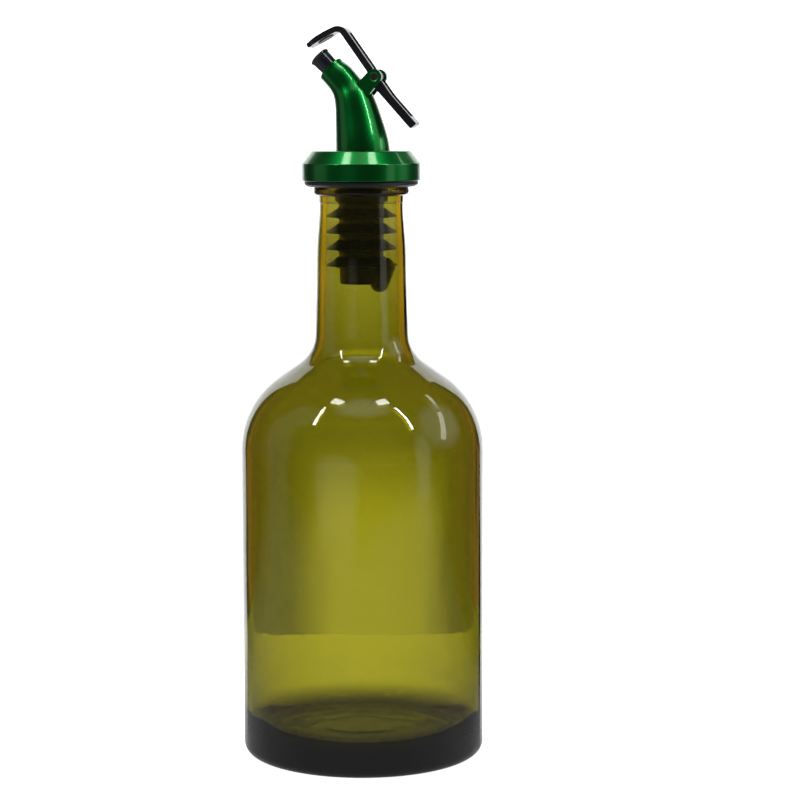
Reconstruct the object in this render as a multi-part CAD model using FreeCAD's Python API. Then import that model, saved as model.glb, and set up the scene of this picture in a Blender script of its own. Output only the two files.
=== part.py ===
"""Glass oil bottle with a flip-lever pouring stopper.

Units are millimetres. The origin is the centre of the foot of the bottle, +Z is up, the
spout pours towards -X and the lever's thumb tail points towards +X. The lever is drawn
ajar, 16 degrees above its closed position.
"""
import FreeCAD, Part
import math
import os

V = FreeCAD.Vector

# ---------------------------------------------------------------- glass bottle
BODY_R = 40.1            # outside radius of the cylindrical body
FOOT_R = 3.6             # rounding between foot and wall
WALL = 2.9               # glass thickness of body and shoulder
FLOOR_Z = 7.9            # top of the thick glass base
FLOOR_ROUND = 8.0        # rounding between the inner wall and the floor
FLOOR_RISE = 0.8         # the floor's raised centre
PUSH_UP = 3.2            # hollow under the base
SHOULDER_Z = 117.3       # where the straight wall and the shoulder slope would meet
NECK_ROOT_R = 15.62      # where the shoulder slope and the neck would meet
NECK_ROOT_Z = 134.45
SHOULDER_ROUND = 29.25
NECK_ROUND = 11.9
NECK_R = 13.8            # neck just under the finish
MOUTH_Z = 188.95         # sealing land of the mouth
BEAD_R = 15.8            # ring round the mouth
BEAD_Z = 186.3
MOUTH_R = 11.8           # bore at the mouth

# ---------------------------------------------------------------- stopper plug
FLANGE_Z = 189.0         # underside of the rubber flange, at its rim
FLANGE_R = 18.7
FLANGE_T = 1.9
SLEEVE_R_TOP = 7.45      # rubber plug below the flange
SLEEVE_R_BOTTOM = 7.1
SLEEVE_Z = 157.1         # bottom of the plug
PLUG_HEAD_R = 8.75       # thicker length just under the flange
PLUG_HEAD_Z = 184.6
FIN_R = 11.65
FIN_TOP_Z = 180.2
FIN_PITCH = 5.3
FIN_COUNT = 4
FIN_ROOT_T = 3.8
FIN_TIP_T = 0.5
FIN_DROOP = 0.9
CORE_R = 5.6
OIL_R = 2.1              # pouring passage
OIL_X = -2.2
VENT_X = 3.0             # air tube beside it
VENT_R = 1.9
VENT_BORE_R = 0.8
VENT_END_X = 6.0         # swollen, round-ended foot of the air tube
VENT_END_R = 3.1
VENT_END_Z = 154.2
VENT_END_TOP = 165.8
VENT_END_LEAN = 2.0      # its top stands this much further out

# ---------------------------------------------------------------- spout housing
COLLAR_Z = FLANGE_Z + FLANGE_T
COLLAR_H = 9.8
COLLAR_R = 19.5
COLLAR_TOP_R = 16.15
COLLAR_SIDE_H = 5.6      # straight side below the chamfer
TOP_Z = COLLAR_Z + COLLAR_H
PIVOT_X = 5.4
PIVOT_Z = TOP_Z + 23.9
SPOUT_DEG = 45.0         # rise of the barrel
AXIS_OFF = 8.9           # distance from the pivot to the barrel's axis
MOUTH_U = 13.3           # barrel's mouth, measured from the pivot along the axis
BARREL_R = 4.6
# round stem sections, each from its front point to its back point: x, height above collar
STEM = [(-8.25, -0.6, 9.45, -0.6), (-8.3, 4.0, 8.95, 3.8), (-8.35, 8.5, 7.0, 10.3),
        (-8.4, 12.2, 4.75, 16.5), (-8.6, 15.6, 1.9, 21.5), (-9.25, 18.3, -1.25, 24.65)]
BARREL_STEPS = [(8.2, 4.93), (10.6, 4.72), (MOUTH_U, BARREL_R)]
EAR_IN = 3.0             # half the gap between the two ears
EAR_OUT = 4.25
EAR_R = 2.5
EAR_ROOT_UP = 2.35      # root offsets of the ear's two edges from its centre line
EAR_ROOT_DOWN = 3.5
EAR_LEN = 9.6
EAR_DEG = 44.0

# ---------------------------------------------------------------- pouring tube
TUBE_R = 3.08
TUBE_NOSE_R = 3.30
LIP_R = 3.56
LIP_FRONT_R = 3.1
TUBE_TIP_U = 18.85
TUBE_DEPTH = 8.0

# ---------------------------------------------------------------- lever and pin
AJAR_DEG = 16.0
ARM_DEG = 54.5           # rise of the upper arm
TAIL_DEG = 48.1          # fall of the thumb tail
ARM_IN, ARM_OUT = -1.13, 1.05      # faces of the arm, either side of the pivot
TAIL_IN, TAIL_OUT = -2.45, 0.15
LEVER_HALF_W = 2.9
HEAD_HALF_W = 4.3
HEAD_UNDER = 19.15       # head's underside, from the pivot
HEAD_T = 1.9
HEAD_TIP_T = 1.5
HEAD_LEN = 15.0
TAIL_LEN = 20.6
GROOVE_T = 0.35          # shallow groove along the lever's outer face
GROOVE_RIM = 0.75
GROOVE_UP = 16.8         # its ends, from the pivot along the arm and along the tail
GROOVE_DOWN = 17.2
HUB_R = 1.95
PIN_R = 0.85
PIN_CAP_R = 1.2
PIN_CAP_T = 0.55
PIN_SINK = 0.18          # pin ends sit below the ears' faces
PIN_CLEAR = 0.05
PAD_R = 2.85
PAD_T = 0.75
PAD_PROUD = 0.25


def rounded_path(points):
    """Edges through (x, z, radius) corners in the XZ plane, each corner rounded."""
    pts = [V(p[0], 0, p[1]) for p in points]
    ends = [(pts[0], None, pts[0])]
    for i in range(1, len(pts) - 1):
        ends.append(corner(pts[i - 1], pts[i], pts[i + 1], points[i][2]))
    ends.append((pts[-1], None, pts[-1]))
    return stitch(ends)


def rounded_loop(points):
    """Closed outline through (x, z, radius) corners in the XZ plane."""
    pts = [V(p[0], 0, p[1]) for p in points]
    n = len(pts)
    ends = [corner(pts[i - 1], pts[i], pts[(i + 1) % n], points[i][2]) for i in range(n)]
    edges = stitch(ends)
    if ends[-1][2].distanceToPoint(ends[0][0]) > 1e-6:
        edges.append(Part.makeLine(ends[-1][2], ends[0][0]))
    return Part.Face(Part.Wire(Part.__sortEdges__(edges)))


def corner(a, b, c, rad):
    """Start, mid and end of the arc that rounds corner b."""
    if rad <= 0:
        return (b, None, b)
    u, w = (a - b).normalize(), (c - b).normalize()
    ang = u.getAngle(w)
    if ang > math.pi - 1e-4:
        return (b, None, b)
    t = rad / math.tan(ang / 2)
    mid = (u + w).normalize()
    centre = b + mid * (rad / math.sin(ang / 2))
    return (b + u * t, centre - mid * rad, b + w * t)


def stitch(ends):
    edges = []
    for i, (start, mid, end) in enumerate(ends):
        if i and ends[i - 1][2].distanceToPoint(start) > 1e-6:
            edges.append(Part.makeLine(ends[i - 1][2], start))
        if mid is not None:
            edges.append(Part.Arc(start, mid, end).toShape())
    return edges


def turned(points):
    """Solid of revolution about Z from a closed (radius, height, rounding) outline."""
    return rounded_loop(points).revolve(V(0, 0, 0), V(0, 0, 1), 360)


def rod(radius, start, end):
    d = end - start
    return Part.makeCylinder(radius, d.Length, start, d)


def disc_wire(centre, normal, radius):
    return Part.Wire(Part.Circle(centre, normal, radius).toShape())


def slab(face, y0, y1):
    """Extrude an XZ outline from y0 to y1."""
    f = face.copy()
    f.translate(V(0, y0, 0))
    return f.extrude(V(0, y1 - y0, 0))


def save(name, shape):
    shape = shape.removeSplitter()
    if shape.ShapeType == "Compound" and len(shape.Solids) == 1:
        shape = shape.Solids[0]
    assert shape.isValid() and len(shape.Solids) == 1, name
    shape.exportStep("parts/%s.step" % name)
    print(name, round(shape.Volume, 1), "mm3")


PIVOT = V(PIVOT_X, 0, PIVOT_Z)
RISE = math.radians(SPOUT_DEG)
U = V(-math.cos(RISE), 0, math.sin(RISE))        # out along the barrel
W = V(-math.sin(RISE), 0, -math.cos(RISE))       # from the pivot towards the barrel


def on_axis(u):
    return PIVOT + W * AXIS_OFF + U * u


# ================================================================ bottle
def bottle():
    inner_r = BODY_R - WALL
    slope = math.atan2(NECK_ROOT_Z - SHOULDER_Z, BODY_R - NECK_ROOT_R)
    # inner shoulder line, one wall thickness inside the outer one
    line = BODY_R * math.sin(slope) + SHOULDER_Z * math.cos(slope) - WALL
    neck_in = NECK_ROOT_R - WALL
    z_wall = (line - inner_r * math.sin(slope)) / math.cos(slope)
    z_neck = (line - neck_in * math.sin(slope)) / math.cos(slope)
    outline = [
        (0, PUSH_UP, 0), (16, PUSH_UP, 30), (33.5, 0, 5), (BODY_R, 0, FOOT_R),
        (BODY_R, SHOULDER_Z, SHOULDER_ROUND), (NECK_ROOT_R, NECK_ROOT_Z, NECK_ROUND),
        (14.9, 157, 200), (14.75, 169, 100), (NECK_R, 180.5, 60),
        (NECK_R, 183.7, 0), (NECK_R + 0.15, 183.85, 0),
        (NECK_R + 0.15, BEAD_Z, 0.3), (BEAD_R, BEAD_Z, 1.0), (BEAD_R, MOUTH_Z, 1.1),
        (MOUTH_R, MOUTH_Z, 0.6), (MOUTH_R + 0.05, 181, 60), (12.5, 160, 120),
        (neck_in, z_neck, NECK_ROUND + WALL), (inner_r, z_wall, SHOULDER_ROUND - WALL),
        (inner_r, FLOOR_Z, FLOOR_ROUND), (22, FLOOR_Z, 14), (12, FLOOR_Z + FLOOR_RISE, 20),
        (0, FLOOR_Z + FLOOR_RISE, 0)]
    return turned(outline)


# ================================================================ plug
def fin(z):
    """One sealing fin: thick at the root, thin at the tip, its tip drooping."""
    r0 = SLEEVE_R_BOTTOM - 1.0
    h, t = FIN_ROOT_T / 2, FIN_TIP_T / 2
    return turned([(r0, z + h, 0), (SLEEVE_R_TOP, z + h, 1.2),
                   (FIN_R - 1.6, z - FIN_DROOP * 0.35 + t * 1.7, 6),
                   (FIN_R, z - FIN_DROOP + t, 0.2), (FIN_R, z - FIN_DROOP - t, 0.2),
                   (FIN_R - 1.6, z - FIN_DROOP * 0.8 - t * 1.7, 6),
                   (SLEEVE_R_TOP, z - h, 1.2), (r0, z - h, 0)])


def vent():
    """Air tube: slim shank in the core and a swollen, round-ended foot."""
    foot0 = V(VENT_END_X, 0, VENT_END_Z + VENT_END_R)
    foot1 = V(VENT_END_X + VENT_END_LEAN, 0, VENT_END_TOP - VENT_END_R)
    s = rod(VENT_R, V(VENT_X, 0, SLEEVE_Z + 1.5), V(VENT_X, 0, COLLAR_Z))
    s = s.fuse([rod(VENT_END_R, foot0, foot1), Part.makeSphere(VENT_END_R, foot0),
                Part.makeSphere(VENT_END_R, foot1)])
    return s


def sleeve():
    body = turned([
        (CORE_R, SLEEVE_Z, 0), (SLEEVE_R_BOTTOM, SLEEVE_Z, 0.3),
        (SLEEVE_R_TOP, PLUG_HEAD_Z - 1.0, 0.5), (PLUG_HEAD_R, PLUG_HEAD_Z, 0.5),
        (PLUG_HEAD_R, FLANGE_Z - 0.2, 0), (MOUTH_R - 0.6, FLANGE_Z, 0.8),
        (FLANGE_R - 1.2, FLANGE_Z, 1.0), (FLANGE_R, FLANGE_Z + 0.75, 0.3),
        (FLANGE_R, FLANGE_Z + FLANGE_T, 0.3), (CORE_R, FLANGE_Z + FLANGE_T, 0)])
    body = body.fuse([fin(FIN_TOP_Z - FIN_PITCH * i) for i in range(FIN_COUNT)])
    return body.cut(vent())


def core():
    c = rod(CORE_R, V(0, 0, SLEEVE_Z), V(0, 0, COLLAR_Z))
    c = c.cut(rod(OIL_R, V(OIL_X, 0, SLEEVE_Z - 1), V(OIL_X, 0, COLLAR_Z + 1)))
    return c.cut(vent())


def vent_tube():
    v = vent()
    v = v.cut(rod(VENT_BORE_R, V(VENT_X, 0, VENT_END_Z + 3.2), V(VENT_X, 0, COLLAR_Z + 1)))
    v = v.cut(rod(VENT_BORE_R, V(VENT_X, 0, VENT_END_Z + 3.2),
                  V(VENT_END_X, 0, VENT_END_Z + 3.2)))
    return v.cut(rod(VENT_BORE_R, V(VENT_END_X, 0, VENT_END_Z - 1),
                     V(VENT_END_X, 0, VENT_END_Z + 3.2)))


# ================================================================ housing
def ear_outline():
    a = math.radians(EAR_DEG)
    root = PIVOT - V(math.cos(a), 0, math.sin(a)) * EAR_LEN
    n = V(-math.sin(a), 0, math.cos(a))
    tip = PIVOT + V(math.cos(a), 0, math.sin(a)) * EAR_R
    up, down = root + n * EAR_ROOT_UP, root - n * EAR_ROOT_DOWN
    edges = [Part.makeLine(up, PIVOT + n * EAR_R),
             Part.Arc(PIVOT + n * EAR_R, tip, PIVOT - n * EAR_R).toShape(),
             Part.makeLine(PIVOT - n * EAR_R, down), Part.makeLine(down, up)]
    return Part.Face(Part.Wire(edges))


def pin_solid(extra):
    """The rivet pin; extra widens its shank for the hole in the lever."""
    end = EAR_OUT - PIN_SINK
    p = rod(PIN_R + extra, PIVOT + V(0, -end, 0), PIVOT + V(0, end, 0))
    for s in (-1, 1):
        p = p.fuse(rod(PIN_CAP_R, PIVOT + V(0, s * (end - PIN_CAP_T), 0),
                       PIVOT + V(0, s * end, 0)))
    return p


def housing():
    collar = turned([
        (0, COLLAR_Z, 0), (COLLAR_R, COLLAR_Z, 0.35),
        (COLLAR_R, COLLAR_Z + COLLAR_SIDE_H, 0.5), (COLLAR_TOP_R, TOP_Z, 0.7),
        (0, TOP_Z, 0)])
    rings = []
    for x0, h0, x1, h1 in STEM:
        front, back = V(x0, 0, TOP_Z + h0), V(x1, 0, TOP_Z + h1)
        across = back - front
        rings.append(disc_wire((front + back) * 0.5, V(-across.z, 0, across.x),
                               across.Length / 2))
    for u, r in BARREL_STEPS:
        rings.append(disc_wire(on_axis(u), U, r))
    stem = Part.makeLoft(rings, True, False)
    body = collar.fuse(stem)
    for s in (-1, 1):
        y0, y1 = sorted((s * EAR_IN, s * EAR_OUT))
        body = body.fuse(slab(ear_outline(), y0, y1))
    # the barrel's mouth has a fine bevel
    far = on_axis(MOUTH_U)
    ring = Part.makeCone(BARREL_R + 1.2, BARREL_R - 0.8, 2.0, far - U * 1.55, U)
    keep = rod(BARREL_R + 3, far - U * 1.55, far + U * 0.45)
    body = body.cut(keep.cut(ring))
    # pouring passage: up the stem, then out along the barrel into the tube's socket
    s = (PIVOT.x + W.x * AXIS_OFF - OIL_X) / -U.x
    bend = on_axis(s)
    body = body.cut(rod(OIL_R, V(OIL_X, 0, COLLAR_Z - 1), bend))
    body = body.cut(rod(OIL_R, bend, on_axis(MOUTH_U + 1)))
    body = body.cut(Part.makeSphere(OIL_R, bend))
    body = body.cut(rod(TUBE_R, on_axis(MOUTH_U - TUBE_DEPTH), on_axis(MOUTH_U + 2)))
    # pin holes with a small countersink
    body = body.cut(pin_solid(0.0))
    for s in (-1, 1):
        base = PIVOT + V(0, s * (EAR_OUT - PIN_SINK), 0)
        body = body.cut(Part.makeCone(PIN_CAP_R, PIN_CAP_R + 0.35, PIN_SINK + 0.01,
                                      base, V(0, s, 0)))
    return body


def pour_tube():
    """Flared nozzle: a plain shank in the barrel and a lipped nose outside it."""
    start = MOUTH_U - TUBE_DEPTH
    pts = [(OIL_R, start, 0), (TUBE_R, start, 0.3), (TUBE_R, MOUTH_U, 0),
           (TUBE_NOSE_R, TUBE_TIP_U - 1.15, 0.5), (LIP_R, TUBE_TIP_U - 0.8, 0.3),
           (LIP_R, TUBE_TIP_U - 0.35, 0.3), (LIP_FRONT_R, TUBE_TIP_U, 0.25),
           (OIL_R + 0.45, TUBE_TIP_U, 0.2), (OIL_R, TUBE_TIP_U - 1.2, 0)]
    t = turned(pts)
    t.rotate(V(0, 0, 0), V(0, 1, 0), -(90 - SPOUT_DEG))
    t.translate(on_axis(0))
    return t


# ================================================================ lever
def lever_frames():
    """Directions in the XZ plane for the head, the upper arm and the tail, at rest."""
    h = math.radians(90 - SPOUT_DEG - AJAR_DEG)
    a, t = math.radians(ARM_DEG), math.radians(TAIL_DEG)
    head = (V(-math.sin(h), 0, math.cos(h)), V(-math.cos(h), 0, -math.sin(h)))
    arm = (V(math.sin(a), 0, math.cos(a)), V(-math.cos(a), 0, math.sin(a)))
    tail = (V(math.sin(t), 0, math.cos(t)), V(math.cos(t), 0, -math.sin(t)))
    return head, arm, tail


def cross(n1, d1, n2, d2):
    """Point p with p.n1 = d1 and p.n2 = d2 in the XZ plane."""
    det = n1.x * n2.z - n1.z * n2.x
    return ((d1 * n2.z - n1.z * d2) / det, (n1.x * d2 - d1 * n2.x) / det)


def at(normal, dist, along, run):
    """Point at a distance from the pivot along a face's normal and along the face."""
    p = normal * dist + along * run
    return (p.x, p.z)


def lever_blank():
    (m, v), (n1, d1), (n2, d2) = lever_frames()
    top = HEAD_UNDER + HEAD_T
    pts = [at(m, HEAD_UNDER, v, HEAD_LEN - 0.1) + (0.35,),
           at(m, HEAD_UNDER + HEAD_TIP_T, v, HEAD_LEN + 0.05) + (0.6,),
           at(m, top, v, 10.2) + (14,),
           cross(m, top - 0.05, n1, ARM_OUT) + (4.0,),
           cross(n1, ARM_OUT, n2, TAIL_OUT) + (30,),
           at(n2, TAIL_OUT, d2, TAIL_LEN) + (0.5,),
           at(n2, TAIL_IN, d2, TAIL_LEN - 0.2) + (0.6,),
           at(n2, TAIL_IN, d2, 0.5) + (1.2,),
           at(n1, ARM_IN, d1, 3.0) + (1.5,),
           cross(m, HEAD_UNDER, n1, ARM_IN) + (1.8,)]
    outline = rounded_loop(pts)
    side = slab(outline, -HEAD_HALF_W - 1, HEAD_HALF_W + 1)
    # plan of the arm, with rounded tail corners, and of the spoon-shaped head
    arm = Part.makeBox(80, 2 * LEVER_HALF_W, 80, V(-40, -LEVER_HALF_W, -40))
    return side, arm


def groove():
    """Groove between the two rims on the outer face, from below the bend to the tail."""
    _, (n1, d1), (n2, d2) = lever_frames()
    arm_floor, tail_floor = ARM_OUT - GROOVE_T, TAIL_OUT - GROOVE_T
    pts = [at(n1, arm_floor, d1, GROOVE_UP) + (0.3,),
           cross(n1, arm_floor, n2, tail_floor) + (30,),
           at(n2, tail_floor, d2, GROOVE_DOWN) + (0.3,),
           at(n2, TAIL_OUT + 2, d2, GROOVE_DOWN + 1) + (0,),
           at(n1, ARM_OUT + 2, d1, GROOVE_UP + 1) + (0,)]
    return slab(rounded_loop(pts), GROOVE_RIM - LEVER_HALF_W, LEVER_HALF_W - GROOVE_RIM)


def head_plan():
    """Spoon-shaped plan of the head, drawn flat and then stood on the head's plane."""
    (m, v), _, _ = lever_frames()
    w0, w1 = LEVER_HALF_W, HEAD_HALF_W
    c = HEAD_LEN - w1 + 0.1
    pts = [(2.2, w0, 0), (4.4, w0, 3.0), (7.4, w1, 3.0), (c, w1, 0)]
    upper = rounded_path(pts)
    lower = rounded_path([(p[0], -p[1], p[2]) for p in pts])
    nose = Part.Arc(V(c, 0, w1), V(c + w1, 0, 0), V(c, 0, -w1)).toShape()
    back = Part.makeLine(V(2.2, 0, w0), V(2.2, 0, -w0))
    face = Part.Face(Part.Wire(Part.__sortEdges__(upper + lower + [nose, back])))
    prism = face.extrude(V(0, 8, 0))
    # flat x runs along the head, flat z across it, flat y along its thickness
    mat = FreeCAD.Matrix(v.x, m.x, 0, m.x * 16, 0, 0, 1, 0, v.z, m.z, 0, m.z * 16)
    return prism.transformed(mat)


def pad_rod(d0, d1, radius):
    (m, v), _, _ = lever_frames()
    foot = PIVOT + v * AXIS_OFF
    return rod(radius, foot + m * d0, foot + m * d1)


def lever():
    side, arm = lever_blank()
    plan = arm.fuse(head_plan())
    body = side.common(plan).cut(groove())
    hub = Part.makeCylinder(HUB_R, 2 * LEVER_HALF_W, V(0, -LEVER_HALF_W, 0), V(0, 1, 0))
    body = body.fuse(hub)
    body.translate(PIVOT)
    body = body.cut(rod(PIN_R + PIN_CLEAR, PIVOT + V(0, -9, 0), PIVOT + V(0, 9, 0)))
    return body.cut(pad_rod(HEAD_UNDER - 2, HEAD_UNDER + PAD_T - PAD_PROUD, PAD_R))


def pad():
    p = pad_rod(HEAD_UNDER - PAD_PROUD, HEAD_UNDER + PAD_T - PAD_PROUD, PAD_R)
    (m, v), _, _ = lever_frames()
    rim = [e for e in p.Edges if e.Closed and abs(
        (e.CenterOfMass - PIVOT).dot(m) - (HEAD_UNDER - PAD_PROUD)) < 1e-3]
    return p.makeFillet(0.15, rim)


os.makedirs("parts", exist_ok=True)
save("glass_bottle", bottle())
save("plug_sleeve", sleeve())
save("plug_core", core())
save("vent_tube", vent_tube())
save("spout_housing", housing())
save("pour_tube", pour_tube())
save("lever", lever())
save("lever_pad", pad())
save("lever_pin", pin_solid(0.0))
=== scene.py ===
import bpy
import math
from mathutils import Matrix, Vector

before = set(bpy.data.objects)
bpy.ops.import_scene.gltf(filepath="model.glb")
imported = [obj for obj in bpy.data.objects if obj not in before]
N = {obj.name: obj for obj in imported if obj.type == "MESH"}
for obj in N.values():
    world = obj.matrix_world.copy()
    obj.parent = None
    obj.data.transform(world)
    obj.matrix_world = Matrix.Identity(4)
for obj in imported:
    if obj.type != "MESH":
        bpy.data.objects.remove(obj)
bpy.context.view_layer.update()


# ------------------------------------------------------------------ node helpers
def grey(v):
    return (v, v, v, 1)


def material(name):
    """New material with a principled shader; returns it with its tree, shader and output."""
    m = bpy.data.materials.new(name)
    m.use_nodes = True
    nt = m.node_tree
    nt.nodes.clear()
    out = nt.nodes.new("ShaderNodeOutputMaterial")
    b = nt.nodes.new("ShaderNodeBsdfPrincipled")
    nt.links.new(b.outputs["BSDF"], out.inputs["Surface"])
    return m, nt, b, out


def put(node, **values):
    """Constant values on a node's sockets; an underscore stands for a space."""
    for key, value in values.items():
        node.inputs[key.replace("_", " ")].default_value = value


def coords(nt, scale=(1, 1, 1)):
    tc = nt.nodes.new("ShaderNodeTexCoord")
    mp = nt.nodes.new("ShaderNodeMapping")
    put(mp, Scale=scale)
    nt.links.new(tc.outputs["Object"], mp.inputs["Vector"])
    return mp.outputs["Vector"]


def along(nt, vec, axis):
    n = nt.nodes.new("ShaderNodeSeparateXYZ")
    nt.links.new(vec, n.inputs[0])
    return n.outputs[axis]


def noise(nt, vec, scale, detail=3.0, rough=0.5):
    n = nt.nodes.new("ShaderNodeTexNoise")
    put(n, Scale=scale, Detail=detail, Roughness=rough)
    nt.links.new(vec, n.inputs["Vector"])
    return n.outputs["Fac"]


def ramp(nt, fac, stops):
    r = nt.nodes.new("ShaderNodeValToRGB")
    while len(r.color_ramp.elements) < len(stops):
        r.color_ramp.elements.new(0.5)
    for e, (p, c) in zip(r.color_ramp.elements, stops):
        e.position = p
        e.color = c if len(c) == 4 else (*c, 1)
    nt.links.new(fac, r.inputs["Fac"])
    return r.outputs["Color"]


def mottle(nt, fac, low, high):
    """Ramp between two colours over the middle of a noise."""
    return ramp(nt, fac, [(0.3, low), (0.7, high)])


def bump(nt, b, height, strength, distance):
    n = nt.nodes.new("ShaderNodeBump")
    put(n, Strength=strength, Distance=distance)
    nt.links.new(height, n.inputs["Height"])
    nt.links.new(n.outputs["Normal"], b.inputs["Normal"])


def calc(nt, kind, *terms):
    """Math node on numbers and sockets."""
    n = nt.nodes.new("ShaderNodeMath")
    n.operation = kind
    for socket, term in zip(n.inputs, terms):
        if isinstance(term, float):
            socket.default_value = term
        else:
            nt.links.new(term, socket)
    return n.outputs[0]


def fade(nt, value, start, end):
    """1 at start, falling smoothly to 0 at end."""
    n = nt.nodes.new("ShaderNodeMapRange")
    n.interpolation_type = "SMOOTHSTEP"
    put(n, From_Min=start, From_Max=end, To_Min=1.0, To_Max=0.0)
    nt.links.new(value, n.inputs["Value"])
    return n.outputs["Result"]


def mix(nt, fac, first, second):
    """Shader that is the first where fac is 0 and the second where it is 1."""
    n = nt.nodes.new("ShaderNodeMixShader")
    for socket, source in zip(n.inputs, (fac, first, second)):
        nt.links.new(source, socket)
    return n.outputs["Shader"]


# ------------------------------------------------------------------ materials of the object
def olive_glass():
    """Clear body with its colour from absorption, and the faint waviness of drawn glass."""
    m, nt, b, out = material("olive_glass")
    put(b, Base_Color=grey(1.0), Roughness=0.0, IOR=1.5, Transmission_Weight=1.0)
    vol = nt.nodes.new("ShaderNodeVolumeAbsorption")
    put(vol, Color=(0.652, 0.640, 0.02, 1), Density=1020.0)
    nt.links.new(vol.outputs["Volume"], out.inputs["Volume"])
    bump(nt, b, noise(nt, coords(nt, (1, 1, 0.35)), 60.0, 1.0), 0.40, 0.0008)
    return m


def green_lacquer():
    """Metallic lacquer: fine flake, and a colour coat of slightly uneven thickness."""
    m, nt, b, _ = material("green_lacquer")
    v = coords(nt)
    flake = noise(nt, v, 2600.0, 2.0)
    coat = noise(nt, v, 90.0)
    nt.links.new(mottle(nt, coat, (0.001, 0.175, 0.022), (0.003, 0.205, 0.032)),
                 b.inputs["Base Color"])
    nt.links.new(mottle(nt, flake, grey(0.31), grey(0.37)), b.inputs["Roughness"])
    put(b, Metallic=1.0, Coat_Weight=0.6, Coat_Roughness=0.09, Coat_IOR=1.5)
    bump(nt, b, flake, 0.03, 0.00001)
    return m


def plastic(name, dark, light, rough, grain, strength):
    """Moulded plastic or rubber: mottled colour, and grain in its roughness and relief."""
    m, nt, b, _ = material(name)
    v = coords(nt)
    n = noise(nt, v, grain, 4.0, 0.6)
    nt.links.new(mottle(nt, noise(nt, v, 140.0), dark, light), b.inputs["Base Color"])
    nt.links.new(mottle(nt, n, grey(rough[0]), grey(rough[1])), b.inputs["Roughness"])
    put(b, IOR=1.5)
    bump(nt, b, n, strength, 0.00004)
    return m


# node: name, dark and light colour, roughness range, grain, relief
PLASTICS = {
    "lever": ("lever_black", (0.011, 0.012, 0.015), (0.018, 0.019, 0.024),
              (0.12, 0.20), 900.0, 0.10),
    "pour_tube": ("nozzle_black", (0.008, 0.010, 0.015), (0.016, 0.019, 0.026),
                  (0.16, 0.26), 900.0, 0.12),
    "plug_sleeve": ("sleeve_rubber", (0.009, 0.009, 0.012), (0.016, 0.016, 0.021),
                    (0.38, 0.50), 1500.0, 0.20),
    "plug_core": ("core_black", (0.006, 0.006, 0.007), (0.012, 0.012, 0.013),
                  (0.40, 0.52), 1200.0, 0.15),
    "vent_tube": ("vent_grey", (0.070, 0.068, 0.072), (0.100, 0.098, 0.104),
                  (0.30, 0.42), 1200.0, 0.15),
    "lever_pad": ("pad_rubber", (0.010, 0.010, 0.012), (0.018, 0.018, 0.022),
                  (0.42, 0.55), 1800.0, 0.20),
    "lever_pin": ("pin_dark", (0.012, 0.008, 0.010), (0.022, 0.016, 0.018),
                  (0.25, 0.40), 1500.0, 0.15),
}

looks = {"glass_bottle": olive_glass(), "spout_housing": green_lacquer()}
looks.update({node: plastic(*values) for node, values in PLASTICS.items()})
for node, mat in looks.items():
    me = N[node].data
    me.materials.clear()
    me.materials.append(mat)


# ------------------------------------------------------------------ camera
AZ, DIST, HEIGHT = math.radians(14.0), 0.790, 0.212
PITCH, ROLL = math.radians(6.76), math.radians(-0.25)
SENSOR, LENS = 36.0, 107.865        # mm
SHIFT = 0.04725                     # share of the picture's width
NEAR, FAR = 0.05, 20

right = Vector((math.cos(AZ), math.sin(AZ), 0))
level = Vector((-math.sin(AZ), math.cos(AZ), 0))


def place(x, y, z):
    """Point x right, y away and z up, as seen by the camera, from the bottle's foot."""
    return right * x + level * y + Vector((0, 0, z))


def turned(x, y, z, at):
    """Matrix with these three axes, at this point."""
    return Matrix(((x.x, y.x, z.x, at.x), (x.y, y.y, z.y, at.y), (x.z, y.z, z.z, at.z),
                   (0, 0, 0, 1)))


def add(name, data):
    """Object with this data, in the scene."""
    new = bpy.data.objects.new(name, data)
    bpy.context.scene.collection.objects.link(new)
    return new


fwd = level * math.cos(PITCH) + Vector((0, 0, -math.sin(PITCH)))
up = right.cross(fwd)
cam_data = bpy.data.cameras.new("camera")
cam_data.sensor_width, cam_data.lens, cam_data.shift_x = SENSOR, LENS, SHIFT
cam_data.clip_start, cam_data.clip_end = NEAR, FAR
cam = add("camera", cam_data)
cam.matrix_world = turned(right * math.cos(ROLL) + up * math.sin(ROLL),
                          up * math.cos(ROLL) - right * math.sin(ROLL), -fwd,
                          Vector((DIST * math.sin(AZ), -DIST * math.cos(AZ), HEIGHT)))
bpy.context.scene.camera = cam


# ------------------------------------------------------------------ stage
def flat_sheet(name, corners, mat):
    """A plain sheet, in the camera-aligned frame: x right, y away, z up."""
    me = bpy.data.meshes.new(name)
    me.from_pydata(corners, [], [tuple(range(len(corners)))])
    me.materials.append(mat)
    ob = add(name, me)
    ob.matrix_world = Matrix.Rotation(AZ, 4, "Z")
    return ob


def matt_white(name):
    """Pale matt sheet, faintly uneven."""
    m, nt, b, out = material(name)
    v = coords(nt)
    nt.links.new(mottle(nt, noise(nt, v, 9.0, 5.0), grey(0.80), grey(0.84)),
                 b.inputs["Base Color"])
    put(b, Roughness=0.7)
    return m, nt, b, out, v


FLOOR_FRONT, FLOOR_BACK, FLOOR_HALF = -0.24, 0.18, 0.60
FLOOR_GLOW = [(0.0, 1.0), (0.55, 1.0), (0.75, 2.3), (1.0, 2.5)]     # from front to back


def floor_white():
    """Ground lit from within, brighter behind the bottle than in front of it."""
    m, nt, b, _, v = matt_white("floor_white")
    run = nt.nodes.new("ShaderNodeMapRange")
    put(run, From_Min=FLOOR_FRONT, From_Max=FLOOR_BACK)
    nt.links.new(along(nt, v, "Y"), run.inputs["Value"])
    top = max(glow for _, glow in FLOOR_GLOW)
    nt.links.new(ramp(nt, run.outputs["Result"], [(p, grey(g / top)) for p, g in FLOOR_GLOW]),
                 b.inputs["Emission Color"])
    put(b, Emission_Strength=top)
    return m


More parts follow.
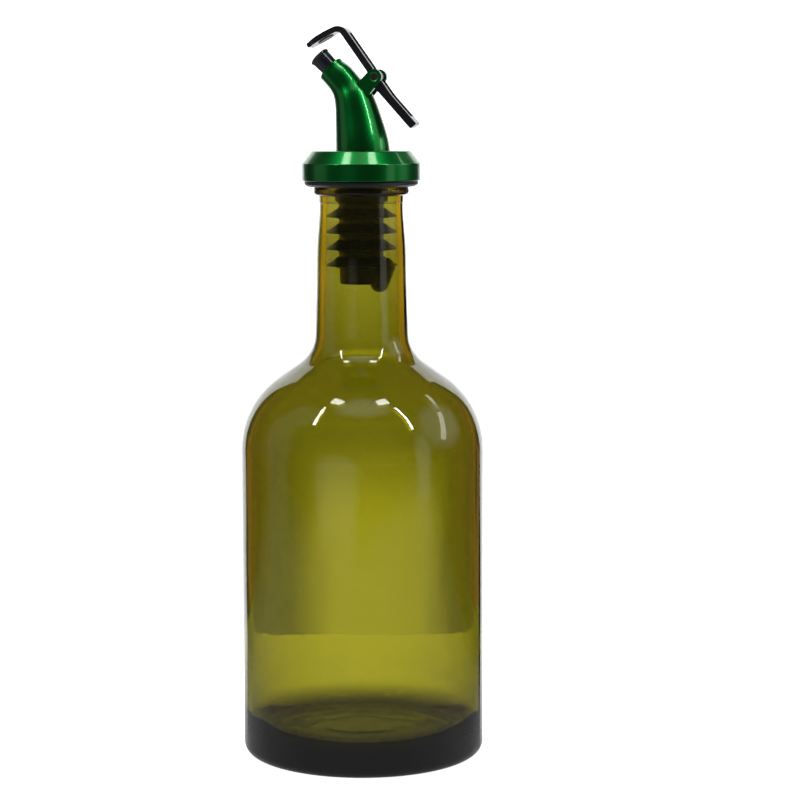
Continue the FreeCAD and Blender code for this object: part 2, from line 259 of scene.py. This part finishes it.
floor = flat_sheet("floor", [(-FLOOR_HALF, FLOOR_FRONT, 0), (FLOOR_HALF, FLOOR_FRONT, 0),
                             (FLOOR_HALF, FLOOR_BACK, 0), (-FLOOR_HALF, FLOOR_BACK, 0)],
                   floor_white())
floor.visible_glossy = False

BACK_Y, BACK_HALF, BACK_LOW, BACK_HIGH = 0.50, 0.34, -0.30, 0.90
BACK_GLOW, MIDDLE_GLOW = 1.0, 1.5
MIDDLE_X, MIDDLE_EDGE, MIDDLE_TOP = 0.013, (0.029, 0.084), (-0.010, 0.045)


def backdrop_white():
    """Panel that glows on its front only and is clear from behind.

    Low down it has a brighter, soft-edged middle.
    """
    m, nt, b, out, v = matt_white("backdrop_white")
    across = calc(nt, "ABSOLUTE", calc(nt, "SUBTRACT", along(nt, v, "X"), MIDDLE_X))
    middle = calc(nt, "MULTIPLY", fade(nt, across, *MIDDLE_EDGE),
                  fade(nt, along(nt, v, "Z"), *MIDDLE_TOP))
    put(b, Emission_Color=grey(1.0))
    nt.links.new(calc(nt, "MULTIPLY_ADD", middle, MIDDLE_GLOW, BACK_GLOW),
                 b.inputs["Emission Strength"])
    side = nt.nodes.new("ShaderNodeNewGeometry")
    clear = nt.nodes.new("ShaderNodeBsdfTransparent")
    nt.links.new(mix(nt, side.outputs["Backfacing"], b.outputs["BSDF"], clear.outputs["BSDF"]),
                 out.inputs["Surface"])
    return m


flat_sheet("backdrop", [(-BACK_HALF, BACK_Y, BACK_LOW), (BACK_HALF, BACK_Y, BACK_LOW),
                        (BACK_HALF, BACK_Y, BACK_HIGH), (-BACK_HALF, BACK_Y, BACK_HIGH)],
           backdrop_white())


# ------------------------------------------------------------------ lights
HEART_Z = 0.15
HEART = place(0, 0, HEART_Z)        # the lights face this point
RIM = 32                            # corners round a card


def toward(az, el, dist):
    """Point at a direction from the bottle: degrees right of the camera, degrees up."""
    a = math.radians(az)
    return place(dist * math.sin(a), -dist * math.cos(a),
                 HEART_Z + dist * math.tan(math.radians(el)))


def lamp(name, start, end, width, glow):
    """Soft rectangle from start to end, facing the bottle; glow is its radiance."""
    run = end - start
    d = bpy.data.lights.new(name, "AREA")
    d.shape, d.size, d.size_y = "RECTANGLE", width, run.length
    d.energy = glow * math.pi * width * run.length
    y = run.normalized()
    mid = (start + end) / 2
    z = mid - HEART
    z = (z - y * z.dot(y)).normalized()
    o = add(name, d)
    o.matrix_world = turned(y.cross(z), y, z, mid)
    o.visible_camera = False


def card(name, centre, normal, half_w, half_h, glow):
    """Soft-edged round reflector, seen only as a reflection."""
    m, nt, b, out = material(name)
    shape = nt.nodes.new("ShaderNodeTexGradient")
    shape.gradient_type = "SPHERICAL"
    nt.links.new(coords(nt), shape.inputs["Vector"])
    put(b, Base_Color=grey(0.0), Emission_Color=grey(1.0), Emission_Strength=glow)
    clear = nt.nodes.new("ShaderNodeBsdfTransparent")
    soft = ramp(nt, shape.outputs["Fac"], [(0.0, grey(0.0)), (0.45, grey(1.0))])
    nt.links.new(mix(nt, soft, clear.outputs["BSDF"], b.outputs["BSDF"]), out.inputs["Surface"])

    angles = [math.tau * i / RIM for i in range(RIM)]
    me = bpy.data.meshes.new(name)
    me.from_pydata([(math.cos(a), math.sin(a), 0) for a in angles], [], [tuple(range(RIM))])
    me.materials.append(m)
    o = add(name, me)
    turn = Vector(normal).to_track_quat("Z", "Y").to_matrix().to_4x4()
    o.matrix_world = Matrix.Translation(centre) @ turn @ Matrix.Diagonal((half_w, half_h, 1, 1))
    o.visible_camera = o.visible_diffuse = o.visible_transmission = o.visible_shadow = False


# name, start and end (degrees right, degrees up), distance, width, glow
for name, start, end, dist, width, glow in (
        ("bar_right", (54, 28), (55, 59), 0.60, 0.035, 40),
        ("bar_left", (-55, 33), (-63, 57), 0.60, 0.035, 40),
        ("top_left", (-72, 67), (-47, 69), 0.37, 0.13, 14),
        ("top_right", (34, 71), (62, 69), 0.34, 0.13, 14),
        ("side_right", (84, 8), (118, 46), 0.60, 0.06, 4)):
    lamp(name, toward(*start, dist), toward(*end, dist), width, glow)

# name, centre (degrees right, degrees up), distance, half width, half height, glow
for name, at, dist, half_w, half_h, glow in (
        ("card_top", (0, 66), 0.42, 0.50, 0.30, 1.0),
        ("card_right_low", (58, -2), 0.60, 0.12, 0.30, 0.8),
        ("card_right", (88, 22), 0.60, 0.34, 0.30, 0.8),
        ("card_left", (-86, 8), 0.60, 0.24, 0.40, 0.30),
        ("card_left_high", (-75, 38), 0.60, 0.24, 0.22, 0.35),
        ("card_front", (-24, -13), 0.60, 0.26, 0.16, 0.60)):
    centre = toward(*at, dist)
    card(name, centre, HEART - centre, half_w, half_h, glow)
card("card_table", place(0, -0.19, -0.002), (0, 0, 1), 0.75, 0.34, 0.38)


# ------------------------------------------------------------------ surroundings
ROOM_FRONT, ROOM_BACK = grey(0.5), (3.2, 2.0, 1.1)

world = bpy.data.worlds.new("studio")
bpy.context.scene.world = world
world.use_nodes = True
nt = world.node_tree
nt.nodes.clear()


def background(colour=grey(1.0)):
    """Background of a plain colour, or of the colour on a socket."""
    n = nt.nodes.new("ShaderNodeBackground")
    if isinstance(colour, tuple):
        put(n, Color=colour)
    else:
        nt.links.new(colour, n.inputs["Color"])
    return n.outputs[0]


# seen through the glass, the room is warm behind and beside the bottle and dimmer in front
facing = nt.nodes.new("ShaderNodeVectorMath")
facing.operation = "DOT_PRODUCT"
facing.inputs[1].default_value = level
nt.links.new(nt.nodes.new("ShaderNodeTexCoord").outputs["Generated"], facing.inputs[0])
room = background(ramp(nt, facing.outputs["Value"], [(0.0, ROOM_FRONT), (0.35, ROOM_BACK)]))
dim = background((0.04, 0.04, 0.045, 1))
white = background()
ray = nt.nodes.new("ShaderNodeLightPath")
sky = mix(nt, ray.outputs["Is Camera Ray"],
          mix(nt, ray.outputs["Is Transmission Ray"], dim, room), white)
nt.links.new(sky, nt.nodes.new("ShaderNodeOutputWorld").inputs["Surface"])
bpy.context.scene.view_settings.view_transform = "Standard"
